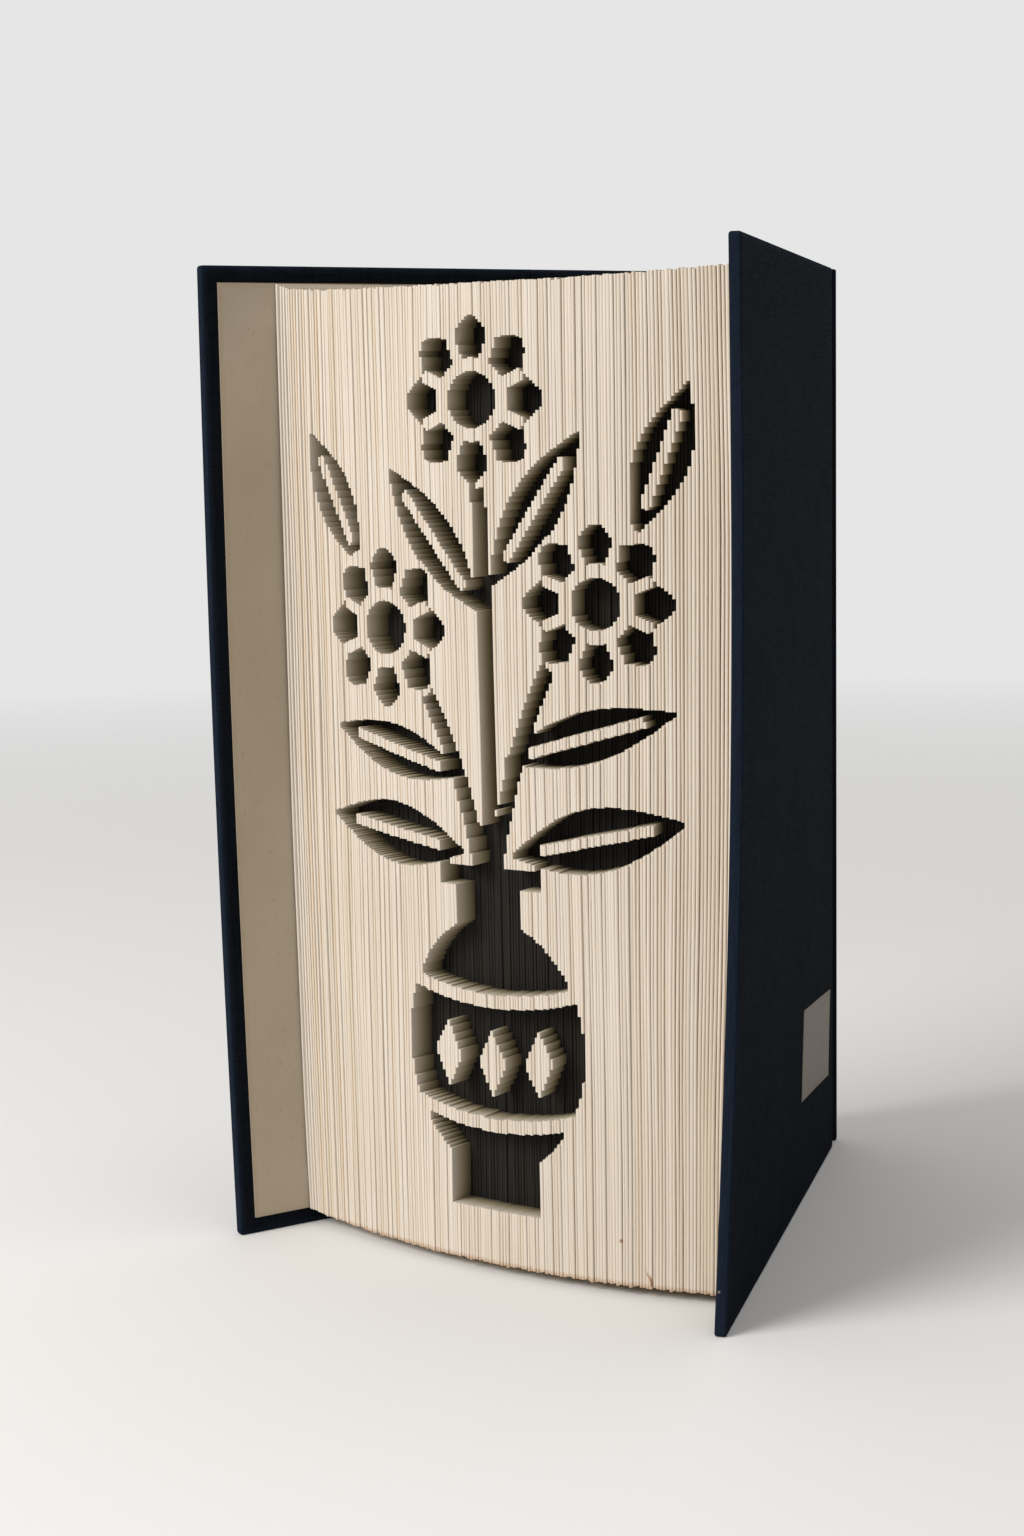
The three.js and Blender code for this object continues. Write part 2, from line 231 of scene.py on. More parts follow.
def warp_at(side, reach, z):
    """How far a cover has warped outwards, at a share of the way from its joint to its fore-edge."""
    rise = z / COVER_HEIGHT
    return reach * (COVER_LEAN[side] * rise + COVER_BOW[side] * np.sin(np.pi * rise))


def cover_points(side, s, depth, z, share=1.0):
    """Points of a cover: s runs from the spine to the fore-edge, and depth from the outer face inwards."""
    s = np.asarray(s, float)
    depth = np.asarray(depth, float)
    z = np.asarray(z, float)
    reach = np.clip((s - HINGE_INSET) / (COVER_DEPTH - HINGE_INSET), 0, None)
    warp = warp_at(side, reach, z)
    x, y = turned(side * (HALF_CASE - depth + warp), -s, side, OPENING[side] * share)
    return row(np.stack([x, y, z], axis=-1))


# Meshes
def new_object(name, vertices, faces, materials):
    mesh = bpy.data.meshes.new(name)
    mesh.from_pydata([tuple(v) for v in vertices], [], [tuple(f) for f in faces])
    mesh.validate()
    obj = bpy.data.objects.new(name, mesh)
    bpy.context.scene.collection.objects.link(obj)
    for item in materials:
        mesh.materials.append(item)
    bm = bmesh.new()
    bm.from_mesh(mesh)
    bmesh.ops.recalc_face_normals(bm, faces=bm.faces)
    bm.to_mesh(mesh)
    bm.free()
    mesh.polygons.foreach_set("use_smooth", [True] * len(mesh.polygons))
    return obj


def add_values(obj, name, values):
    """A number for each point, that a material reads by name."""
    attribute = obj.data.attributes.new(name, "FLOAT", "POINT")
    attribute.data.foreach_set("value", np.asarray(values, np.float32))


def add_uv(obj, uv):
    layer = obj.data.uv_layers.new(name="UVMap")
    loops = np.empty(len(obj.data.loops), int)
    obj.data.loops.foreach_get("vertex_index", loops)
    layer.data.foreach_set("uv", np.asarray(uv, np.float32)[loops].ravel())


def smooth_by_angle(obj, degrees=35):
    """Rounds the shading except where faces meet at a sharp angle."""
    bm = bmesh.new()
    bm.from_mesh(obj.data)
    for edge in bm.edges:
        edge.smooth = len(edge.link_faces) == 2 and edge.calc_face_angle(0) < math.radians(degrees)
    bm.to_mesh(obj.data)
    bm.free()


def rounded_box(low, high, rounding, corner_edges, corner_radius, cuts):
    """A box with rounded edges, sliced along each axis so that it can bend."""
    bm = bmesh.new()
    bmesh.ops.create_cube(bm, size=1)
    size = Vector(high) - Vector(low)
    middle = (Vector(high) + Vector(low)) / 2
    bmesh.ops.scale(bm, vec=size, verts=bm.verts)
    bmesh.ops.translate(bm, vec=middle, verts=bm.verts)
    chosen = [edge for edge in bm.edges if corner_edges(edge)]
    if chosen:
        bmesh.ops.bevel(bm, geom=chosen, offset=corner_radius, segments=4, profile=0.5, affect="EDGES")
    rims = [edge for edge in bm.edges if edge.calc_face_angle(0) > math.radians(40)]
    if rounding:
        bmesh.ops.bevel(bm, geom=rims, offset=rounding, segments=3, profile=0.5, affect="EDGES")
    for axis, places in enumerate(cuts):
        normal = [0, 0, 0]
        normal[axis] = 1
        for place in places:
            point = [0, 0, 0]
            point[axis] = place
            geometry = bm.verts[:] + bm.edges[:] + bm.faces[:]
            bmesh.ops.bisect_plane(bm, geom=geometry, plane_co=point, plane_no=normal, dist=1e-4)
    bm.verts.ensure_lookup_table()
    vertices = np.array([v.co[:] for v in bm.verts])
    faces = [[v.index for v in face.verts] for face in bm.faces]
    bm.free()
    return vertices, faces


def strip(name, path, thickness, levels, to_row, material):
    """A sheet of even thickness that follows a plan path of (s, depth) and stands between two heights."""
    path = np.asarray(path, float)
    steps = np.diff(path, axis=0)
    directions = np.vstack([steps, steps[-1:]]) + np.vstack([steps[:1], steps])
    directions /= np.linalg.norm(directions, axis=1)[:, None]
    inner = path + np.stack([-directions[:, 1], directions[:, 0]], axis=1) * thickness
    loop = np.vstack([path, inner[::-1]])
    count = len(loop)
    vertices, uv, faces = [], [], []
    travelled = np.concatenate([[0], np.cumsum(np.linalg.norm(steps, axis=1))])
    across = np.concatenate([travelled, travelled[::-1]])
    for z in levels:
        vertices.append(to_row(loop[:, 0], loop[:, 1], np.full(count, z)))
        uv.append(np.stack([across, np.full(count, z)], axis=1))
    for level in range(len(levels) - 1):
        for k in range(count):
            a = level * count + k
            b = level * count + (k + 1) % count
            faces.append((a, b, b + count, a + count))
    half = count // 2
    for base in (0, (len(levels) - 1) * count):
        for k in range(half - 1):
            faces.append((base + k, base + k + 1, base + count - 2 - k, base + count - 1 - k))
    obj = new_object(name, np.vstack(vertices), faces, [material])
    add_uv(obj, np.vstack(uv))
    smooth_by_angle(obj, 50)
    return obj


# Materials
def srgb(red, green, blue):
    """A colour written as 0 to 255, as the linear colour that a shader takes."""
    def linear(value):
        value /= 255
        return value / 12.92 if value <= 0.04045 else ((value + 0.055) / 1.055) ** 2.4
    return (linear(red), linear(green), linear(blue), 1.0)


class Shader:
    """A material whose nodes are added one call at a time."""

    def __init__(self, name, roughness=0.8, sheen=0.0, specular=0.3):
        self.material = bpy.data.materials.new(name)
        self.material.use_nodes = True
        self.nodes = self.material.node_tree.nodes
        self.links = self.material.node_tree.links
        self.surface = self.nodes["Principled BSDF"]
        self.surface.inputs["Roughness"].default_value = roughness
        self.surface.inputs["Sheen Weight"].default_value = sheen
        self.surface.inputs["Specular IOR Level"].default_value = specular

    def add(self, kind, inputs=None, **settings):
        node = self.nodes.new(kind)
        for key, value in settings.items():
            setattr(node, key, value)
        for key, value in (inputs or {}).items():
            if isinstance(value, bpy.types.NodeSocket):
                self.links.new(value, node.inputs[key])
            else:
                node.inputs[key].default_value = value
        return node

    def place(self):
        return self.add("ShaderNodeTexCoord").outputs["Object"]

    def uv(self):
        return self.add("ShaderNodeTexCoord").outputs["UV"]

    def value(self, name):
        return self.add("ShaderNodeAttribute", attribute_name=name).outputs["Fac"]

    def stretched(self, vector, scale):
        return self.add("ShaderNodeMapping", {"Vector": vector, "Scale": scale}).outputs["Vector"]

    def noise(self, vector, scale, detail=3.0, roughness=0.5):
        inputs = {"Vector": vector, "Scale": scale, "Detail": detail, "Roughness": roughness}
        return self.add("ShaderNodeTexNoise", inputs).outputs["Fac"]

    def wave(self, vector, scale, direction, distortion=1.0):
        inputs = {"Vector": vector, "Scale": scale, "Distortion": distortion}
        inputs.update({"Detail": 2.0, "Detail Scale": 1.5})
        return self.add("ShaderNodeTexWave", inputs, bands_direction=direction).outputs["Fac"]

    def ramp(self, factor, low, high, low_value=0.0, high_value=1.0):
        inputs = {"Value": factor, "From Min": low, "From Max": high}
        inputs.update({"To Min": low_value, "To Max": high_value})
        return self.add("ShaderNodeMapRange", inputs).outputs["Result"]

    def math(self, operation, a, b):
        return self.add("ShaderNodeMath", {0: a, 1: b}, operation=operation).outputs[0]

    def times(self, a, b):
        return self.math("MULTIPLY", a, b)

    def mix(self, factor, a, b):
        """A mix of two colours. The node's sockets 6, 7 and 2 are those for colours."""
        return self.add("ShaderNodeMix", {0: factor, 6: a, 7: b}, data_type="RGBA").outputs[2]

    def near(self, point, radius):
        """1 near a point and 0 away from it, with a soft edge at the radius, in metres."""
        inputs = {0: self.place(), 1: tuple(point)}
        distance = self.add("ShaderNodeVectorMath", inputs, operation="DISTANCE").outputs["Value"]
        return self.ramp(distance, radius * 1.5, radius * 0.5)

    def colour(self, socket):
        self.links.new(socket, self.surface.inputs["Base Color"])
        return self

    def rough(self, socket):
        self.links.new(socket, self.surface.inputs["Roughness"])
        return self

    def bump(self, height, distance, strength=1.0):
        inputs = {"Height": height, "Distance": distance, "Strength": strength}
        node = self.add("ShaderNodeBump", inputs)
        self.links.new(node.outputs["Normal"], self.surface.inputs["Normal"])
        return self


def book_cloth():
    shader = Shader("book_cloth", specular=0.008)
    uv = shader.uv()
    warp = shader.wave(uv, 0.62, "X", 1.6)
    weft = shader.wave(uv, 0.70, "Y", 1.6)
    weave = shader.times(shader.math("ADD", warp, weft), 0.5)
    slub = shader.noise(shader.stretched(uv, (1.9, 0.11, 1.0)), 1.0, 3.0, 0.6)
    cross = shader.noise(shader.stretched(uv, (0.12, 1.7, 1.0)), 1.0, 3.0, 0.6)
    threads = shader.times(shader.math("ADD", slub, cross), 0.5)
    cloud = shader.noise(uv, 0.035, 4.0, 0.6)
    tone = shader.mix(shader.ramp(threads, 0.35, 0.65), srgb(11, 14, 18), srgb(23, 27, 34))
    tone = shader.mix(shader.ramp(cloud, 0.35, 0.7, 0.0, 0.35), tone, srgb(28, 31, 37))
    tone = shader.mix(shader.ramp(weave, 0.2, 0.8, 0.5, 0.0), tone, srgb(7, 9, 12))
    rubbed = shader.times(shader.value("rim"), shader.ramp(threads, 0.3, 0.6, 0.35, 1.0))
    tone = shader.mix(shader.times(rubbed, 0.7), tone, srgb(32, 42, 56))
    speck = shader.near(cover_points(1, COVER_DEPTH, *SPECK_PLACE), SPECK_RADIUS)
    tone = shader.mix(speck, tone, srgb(130, 122, 112))
    shader.colour(tone)
    shader.rough(shader.ramp(threads, 0.3, 0.7, 0.86, 0.66))
    height = shader.math("ADD", shader.times(weave, 0.6), shader.times(threads, 0.9))
    return shader.bump(height, 0.00016, 0.8).material


def paper(name, pale, dark, grain=0.6, fibre=0.00003):
    """Uncoated paper with clouded colour and a fine tooth, as a shader and its colour so far."""
    shader = Shader(name, roughness=0.9, specular=0.2)
    place = shader.place()
    cloud = shader.noise(place, 22.0, 4.0, 0.6)
    tooth = shader.noise(place, 1400.0, 3.0, 0.7)
    tone = shader.mix(shader.ramp(cloud, 0.3, 0.7, 0.0, grain), pale, dark)
    shader.bump(tooth, fibre, 0.6)
    return shader, tone


def pastedown_paper():
    # The endpaper's tan is partly painted shade: it is darker than the paper's own colour, standing for the
    # shade that the pastedown lies in.
    shader, tone = paper("pastedown_paper", srgb(178, 165, 146), srgb(165, 151, 130))
    fleck = shader.noise(shader.place(), 900.0, 2.0, 0.6)
    tone = shader.mix(shader.ramp(fleck, 0.66, 0.72, 0.0, 0.35), tone, srgb(140, 118, 90))
    tone = shader.mix(shader.times(shader.value("rim"), 0.35), tone, srgb(150, 128, 98))
    return shader.colour(tone).material


def leaf_paper(name, front):
    """Front: the folded edges. Otherwise the sides of the leaves, with painted shade that deepens towards
    the inked floor.
    """
    shader, tone = paper(name, srgb(223, 213, 200), srgb(213, 202, 187), 0.8)
    streak = shader.noise(shader.stretched(shader.place(), (1500.0, 1500.0, 22.0)), 1.0, 3.0, 0.6)
    tone = shader.mix(shader.ramp(streak, 0.42, 0.72, 0.0, 0.5), tone, srgb(206, 194, 176))
    tone = shader.mix(shader.value("tint"), tone, srgb(202, 188, 167))
    if front:
        # Painted shade: a warm tan at the two edges of each folded front, standing for the shade in the
        # gaps between neighbouring leaves.
        tone = shader.mix(shader.times(shader.value("gap_shade"), 0.9), tone, srgb(220, 176, 114))
    else:
        # Painted shade on the leaf sides: olive grey, then dark brown, behind the folded front and down the
        # relief's walls to its floor.
        tone = shader.mix(shader.ramp(shader.value("side_shade"), 0.0, 0.55), tone, srgb(158, 146, 116))
        tone = shader.mix(shader.ramp(shader.value("side_shade"), 0.55, 1.0), tone, srgb(70, 62, 46))
    height = shader.add("ShaderNodeSeparateXYZ", {"Vector": shader.place()}).outputs["Z"]
    clean, brown = ((PAGE_TAIL + above) * MM for above in BROWN_TAIL)
    tone = shader.mix(shader.ramp(height, clean, brown, 0.0, 0.6), tone, srgb(170, 124, 80))
    for point, radius in stain_places():
        tone = shader.mix(shader.near(point, radius), tone, srgb(142, 94, 50))
    return shader.colour(tone).material


def head_paper():
    shader, tone = paper("leaf_heads", srgb(212, 199, 174), srgb(196, 179, 148), 0.8)
    streak = shader.noise(shader.stretched(shader.place(), (900.0, 120.0, 120.0)), 1.0, 3.0, 0.6)
    tone = shader.mix(shader.ramp(streak, 0.4, 0.7, 0.0, 0.5), tone, srgb(178, 158, 126))
    return shader.colour(tone).material


def ink():
    shader = Shader("inked_folds", specular=0.25)
    streak = shader.noise(shader.stretched(shader.place(), (1300.0, 1300.0, 30.0)), 1.0, 3.0, 0.6)
    tone = shader.mix(shader.ramp(streak, 0.4, 0.75), srgb(17, 16, 14), srgb(44, 38, 30))
    shader.colour(tone)
    shader.rough(shader.ramp(streak, 0.3, 0.7, 0.7, 0.92))
    return shader.bump(streak, 0.00005, 0.6).material


def kraft_lining():
    shader, tone = paper("spine_lining_paper", srgb(186, 162, 122), srgb(166, 141, 100), 0.9, 0.00005)
    return shader.colour(tone).material


def label_paper():
    shader, tone = paper("label_paper", srgb(124, 115, 104), srgb(108, 99, 89), 0.7)
    patchy = shader.ramp(shader.noise(shader.place(), 160.0, 3.0, 0.6), 0.4, 0.65, 0.0, 0.6)
    tone = shader.mix(shader.times(shader.value("rim"), patchy), tone, srgb(84, 76, 66))
    shader.surface.inputs["Roughness"].default_value = 0.55
    return shader.colour(tone).material


def band_thread():
    shader = Shader("band_thread", roughness=0.75, sheen=0.2)
    uv = shader.uv()
    stripes = shader.wave(uv, 0.22, "X", 0.3)
    thread = shader.wave(uv, 1.1, "X", 0.8)
    tone = shader.mix(shader.ramp(stripes, 0.45, 0.55), srgb(196, 184, 158), srgb(58, 62, 74))
    tone = shader.mix(shader.ramp(thread, 0.0, 0.6, 0.5, 0.0), tone, srgb(60, 52, 40))
    shader.colour(tone)
    return shader.bump(thread, 0.0001, 0.8).material


def stage_material():
    """A pale floor that fades into the pale background away from the book."""
    shader = Shader("studio_floor", roughness=0.8, specular=0.1)
    cloud = shader.noise(shader.place(), 3.0, 2.0, 0.5)
    shader.colour(shader.mix(cloud, srgb(226, 224, 221), srgb(230, 228, 226)))
    reach = shader.add("ShaderNodeVectorMath", {0: shader.place()}, operation="LENGTH").outputs["Value"]
    clear = shader.add("ShaderNodeBsdfTransparent").outputs["BSDF"]
    inputs = {0: shader.ramp(reach, *FLOOR_FADE), 1: shader.surface.outputs["BSDF"], 2: clear}
    mixed = shader.add("ShaderNodeMixShader", inputs).outputs["Shader"]
    shader.links.new(mixed, shader.nodes["Material Output"].inputs["Surface"])
    return shader.material


# Covers
def cover_levels(spacing=12.0):
    count = int(COVER_HEIGHT / spacing)
    return [COVER_HEIGHT * k / count for k in range(1, count)]


def cover_slab(side, name, material):
    """A board wrapped in cloth, with soft arrises and rounded corners at the fore-edge."""
    low = (JOINT_WIDTH, 0.0, 0.0)
    high = (COVER_DEPTH, COVER_THICKNESS, COVER_HEIGHT)

    def fore_corner(edge):
        a, b = (v.co for v in edge.verts)
        return abs(a.y - b.y) > 1 and min(a.x, b.x) > COVER_DEPTH - 1

    s_cuts = [COVER_DEPTH - RUBBED_WIDTH, JOINT_WIDTH + RUBBED_WIDTH]
    s_cuts += list(np.linspace(20, COVER_DEPTH - 12, 11))
    z_cuts = [RUBBED_WIDTH, COVER_HEIGHT - RUBBED_WIDTH] + cover_levels()
    cuts = (s_cuts, [], z_cuts)
    vertices, faces = rounded_box(low, high, EDGE_ROUNDING, fore_corner, CORNER_RADIUS, cuts)
    s, depth, z = vertices.T
    points = cover_points(side, s, depth, z)
    obj = new_object(name, points, faces, [material])
    add_uv(obj, np.stack([s + depth, z + depth], axis=1))
    to_edge = np.minimum(np.minimum(COVER_DEPTH - s, z), COVER_HEIGHT - z)
    add_values(obj, "rim", np.clip(1 - to_edge / RUBBED_WIDTH, 0, 1))
    smooth_by_angle(obj)
    return obj


def pastedown_sheet(side, name, material):
    """The endpaper glued inside a cover. The turned-in cloth under it shows as a faint step."""
    low = (JOINT_WIDTH, COVER_THICKNESS - 0.03, PASTEDOWN_BORDER)
    high = (COVER_DEPTH - PASTEDOWN_BORDER, PASTEDOWN_DEPTH - 0.02, COVER_HEIGHT - PASTEDOWN_BORDER)
    near_step = [TURN_IN_WIDTH - 0.5, TURN_IN_WIDTH + 0.5]
    rim = 5.5
    s_cuts = [COVER_DEPTH - place for place in near_step + [rim]]
    s_cuts += list(np.linspace(20, COVER_DEPTH - 26, 9))
    z_cuts = near_step + [rim] + [COVER_HEIGHT - place for place in near_step + [rim]] + cover_levels()
    vertices, faces = rounded_box(low, high, 0.0, lambda edge: False, 0.0, (s_cuts, [], z_cuts))
    s, depth, z = vertices.T
    inside = np.minimum(np.minimum(COVER_DEPTH - s, z), COVER_HEIGHT - z)
    on_face = depth > COVER_THICKNESS + 0.1
    sunk = TURN_IN_STEP * np.clip(inside - near_step[0], 0, 1) * on_face
    obj = new_object(name, cover_points(side, s, depth - sunk, z), faces, [material])
    to_edge = np.minimum(np.minimum(high[0] - s, z - low[2]), high[2] - z)
    add_values(obj, "rim", np.clip(1 - to_edge / 2.0, 0, 1))
    smooth_by_angle(obj)
    return obj


def joint_share(s, start, end):
    """How far a point of the joint has turned with its cover, from 0 to 1."""
    t = np.clip((np.asarray(s, float) - start) / (end - start), 0, 1)
    return t * t * (3 - 2 * t)


def joint_cloth(side, name, material):
    """The cloth pressed into the channel between a cover and the spine."""
    start, end = 2.6, 6.2
    path = [(9.4, 0.42), (8.6, 0.5), (7.9, 0.72), (7.2, 0.95), (6.4, 1.05)]
    path += [(s, GROOVE_DEPTH) for s in (5.6, 5.0, 4.3, 3.7)]
    path += [(3.1, 1.05), (2.5, 0.9), (1.9, 0.62), (1.4, 0.45)]

    def place(s, depth, z):
        return cover_points(side, s, depth, z, joint_share(s, start, end))

    margin = 0.35
    levels = [margin] + cover_levels(20.0) + [COVER_HEIGHT - margin]
    obj = strip(name, path, 0.3, levels, place, material)
    add_values(obj, "rim", np.zeros(len(obj.data.vertices)))
    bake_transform(obj)
    return obj


def joint_paper(side, name, material):
    """The endpaper where it crosses from a cover to the leaves."""
    path = [(9.6, 3.0), (8.4, 3.02), (7.4, 3.06), (6.6, 3.12), (5.8, 3.2), (5.0, 3.28), (4.4, 3.34)]

    def place(s, depth, z):
        return cover_points(side, s, depth, z)

    levels = [PASTEDOWN_BORDER] + cover_levels(20.0) + [COVER_HEIGHT - PASTEDOWN_BORDER]
    obj = strip(name, path, 0.14, levels, place, material)
    add_values(obj, "rim", np.zeros(len(obj.data.vertices)))
    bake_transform(obj)
    return obj


def label_sheet(material):
    """A bare paper label, a little lifted at two opposite corners."""
    half_wide, half_high = LABEL_SIZE[0] / 2, LABEL_SIZE[1] / 2
    columns, rows = 18, 10
    a = np.linspace(-half_wide, half_wide, columns + 1)
    b = np.linspace(-half_high, half_high, rows + 1)
    grid_a, grid_b = (item.ravel() for item in np.meshgrid(a, b, indexing="ij"))
    lift = 0.05 + 0.5 * np.clip((grid_a / half_wide + grid_b / half_high) / 2 - 0.62, 0, 1) ** 1.3
    lift += 0.25 * np.clip((-grid_a / half_wide - grid_b / half_high) / 2 - 0.7, 0, 1)
    toward_spine = grid_a * math.cos(LABEL_TILT) - grid_b * math.sin(LABEL_TILT)
    up = grid_a * math.sin(LABEL_TILT) + grid_b * math.cos(LABEL_TILT)
    s = COVER_DEPTH - LABEL_FROM_FORE_EDGE - toward_spine
    z = LABEL_FROM_TAIL + up
    outer = cover_points(1, s, -lift - 0.1, z)
    inner = cover_points(1, s, -lift + 0.04, z)
    count = len(grid_a)
    faces = []
    for i in range(columns):
        for j in range(rows):
            k = i * (rows + 1) + j
            quad = (k, k + 1, k + rows + 2, k + rows + 1)
            faces.append(quad)
            faces.append(tuple(index + count for index in reversed(quad)))
    edge = [i * (rows + 1) for i in range(columns + 1)]
    edge += [columns * (rows + 1) + j for j in range(1, rows + 1)]
    edge += [i * (rows + 1) + rows for i in range(columns - 1, -1, -1)]
    edge += [j for j in range(rows - 1, 0, -1)]
    for k, here in enumerate(edge):
        after = edge[(k + 1) % len(edge)]
        faces.append((here, after, after + count, here + count))
    obj = new_object("label_sticker", np.vstack([outer, inner]), faces, [material])
    rim = np.clip(1 - np.minimum(half_wide - abs(grid_a), half_high - abs(grid_b)) / 1.5, 0, 1)
    add_values(obj, "rim", np.concatenate([rim, rim]))
    smooth_by_angle(obj)
    return obj


# Spine
def spine_arc(radius, x0, x1, steps):
    x = np.linspace(x0, x1, steps + 1)
    return [(value, SPINE_CENTRE_Y + math.sqrt(radius ** 2 - value ** 2)) for value in x]


def spine_case(material):
    """The rounded spine of the case, with its cloth turned in over the head and tail."""
    shoulder = [
        (SPINE_BAND_HALF + 0.4, -1.55), (14.3, -2.25), (14.9, -2.2), (15.3, -1.8),
        (HALF_CASE, -1.2), (HALF_CASE, -0.7), (HALF_CASE - 0.12, -0.25),
    ]
    outline = shoulder + spine_arc(SPINE_RADIUS, HALF_CASE - 0.45, 0.45 - HALF_CASE, 30)
    outline += [(-x, y) for x, y in reversed(shoulder)]
    outline += spine_arc(SPINE_RADIUS - SPINE_THICKNESS, -SPINE_BAND_HALF, SPINE_BAND_HALF, 26)
    outline = np.array(outline)
    count = len(outline)
    tangent = np.roll(outline, -1, axis=0) - np.roll(outline, 1, axis=0)
    normal = np.stack([tangent[:, 1], -tangent[:, 0]], axis=1)
    normal /= np.linalg.norm(normal, axis=1)[:, None]
    rounding = 0.55
    angles = np.linspace(0, math.pi / 2, 4)
    profile = [(rounding * (1 - math.sin(a)), rounding * (1 - math.cos(a))) for a in angles]
    levels = profile + [(0.0, z) for z in cover_levels(20.0)]
    levels += [(inset, COVER_HEIGHT - z) for inset, z in reversed(profile)]
    vertices, uv, faces = [], [], []
    lengths = np.linalg.norm(np.roll(outline, -1, axis=0) - outline, axis=1)
    travelled = np.concatenate([[0], np.cumsum(lengths)[:-1]])
    for inset, z in levels:
        ring = outline - normal * inset
        vertices.append(np.column_stack([ring, np.full(count, z)]))
        uv.append(np.column_stack([travelled, np.full(count, z)]))
    for level in range(len(levels) - 1):
        for k in range(count):
            a = level * count + k
            b = level * count + (k + 1) % count
            faces.append((a, b, b + count, a + count))
    faces.append(tuple(reversed(range(count))))
    faces.append(tuple((len(levels) - 1) * count + k for k in range(count)))
    obj = new_object("spine_case", row(np.vstack(vertices)), faces, [material])
    add_uv(obj, np.vstack(uv))
    z = np.vstack(vertices)[:, 2]
    add_values(obj, "rim", np.clip(1 - np.minimum(z, COVER_HEIGHT - z) / 1.5, 0, 1))
    smooth_by_angle(obj, 50)
    return obj


def sewn_band(name, low, material):
    """A thread-wound band across the back of the leaves."""
    path = spine_arc(BACK_RADIUS - 0.75, BLOCK_HALF - 0.6, 0.6 - BLOCK_HALF, 44)
    sides = 10
    vertices, uv, faces = [], [], []
    for k, (x, y) in enumerate(path):
        outward = np.array((x, y - SPINE_CENTRE_Y))
        outward /= np.linalg.norm(outward)
        for j in range(sides):
            angle = 2 * math.pi * j / sides
            reach = 0.74 * math.cos(angle)
            z = low + BAND_HEIGHT / 2 + 0.78 * math.sin(angle)
            vertices.append((x + outward[0] * reach, y + outward[1] * reach, z))
            uv.append((k * 0.53, j * 0.45))
    for k in range(len(path) - 1):
        for j in range(sides):
            a = k * sides + j
            b = k * sides + (j + 1) % sides
            faces.append((a, b, b + sides, a + sides))
    faces.append(tuple(range(sides)))
    faces.append(tuple(reversed([(len(path) - 1) * sides + j for j in range(sides)])))
    obj = new_object(name, row(np.array(vertices)), faces, [material])
    add_uv(obj, np.array(uv))
    return obj


# Leaves
def outer_root(side):
    """Where the outermost leaf leaves the sewn back, lying along the inside of its cover."""
    face = side * BLOCK_HALF
    near = turned(face, -HINGE_INSET, side, OPENING[side])
    far = turned(face, -COVER_DEPTH, side, OPENING[side])
    share = (-SEWN_DEPTH - near[1]) / (far[1] - near[1])
    return near[0] + share * (far[0] - near[0])


LEFT_ROOT = outer_root(-1)
RIGHT_ROOT = outer_root(1)
FRONT_LENGTH = LEFT_OPENING * LEAF_LENGTH + RIGHT_ROOT - LEFT_ROOT
PAGE_MIDDLE = (PAGE_TAIL + PAGE_HEAD) / 2
LEAF_REACH = LEAF_LENGTH - FRONT_MARGIN


def leaf_line(share):
    """Root and direction of the leaf at a share of the way from left to right."""
    angle = LEFT_OPENING * (1 - share)
    root = np.array((LEFT_ROOT + share * (RIGHT_ROOT - LEFT_ROOT), -SEWN_DEPTH))
    return root, np.array((-math.sin(angle), -math.cos(angle)))


def front_point(u, v):
    """A point of the leaves' front, u along it and v up from its middle, in metres."""
    root, direction = leaf_line(u / FRONT_LENGTH + 0.5)
    x, y = root + direction * LEAF_LENGTH
    return row((x, y, PAGE_MIDDLE + v))


def stain_places():
    """Small brown marks near the tail of the leaves, each with its radius in metres."""
    marks = list(SPOTS)
    for share in np.linspace(0, 1, TEAR_STEPS):
        u = TEAR_FROM[0] + share * (TEAR_TO[0] - TEAR_FROM[0]) + 0.35 * math.sin(9 * share)
        v = TEAR_FROM[1] + share * (TEAR_TO[1] - TEAR_FROM[1])
        marks.append((u, v, 0.26 + 0.22 * share))
    return [(front_point(u, v), radius * MM) for u, v, radius in marks]


def in_lens(u, v, leaf):
    (u0, v0), (u1, v1), half = leaf
    du, dv = u1 - u0, v1 - v0
    length = math.hypot(du, dv)
    along = ((u - u0) * du + (v - v0) * dv) / length ** 2
    across = np.abs((v - v0) * du - (u - u0) * dv) / length
    inside = (along > 0) & (along < 1)
    rib = (across < LEAF_RIB / 2) & (along > 0.18) & (along < 0.82)
    return inside & (across < half * np.sin(np.pi * np.clip(along, 0, 1))) & ~rib


def in_blossom(u, v, blossom):
    u0, v0, radius = blossom
    reach = np.hypot(u - u0, v - v0)
    angle = np.arctan2(v - v0, u - u0)
    edge = radius * (1 - PETAL_DIP + PETAL_DIP * np.cos(PETAL_COUNT * angle))
    ring = radius * RING_RADIUS
    on_ring = np.abs(reach - ring) < RING_WIDTH / 2
    across = reach * np.abs(np.cos(PETAL_COUNT * angle / 2)) * (2 / PETAL_COUNT)
    on_line = (across < PETAL_LINE / 2) & (reach > ring) & (reach < radius * 0.78)
    return (reach < edge) & ~on_ring & ~on_line


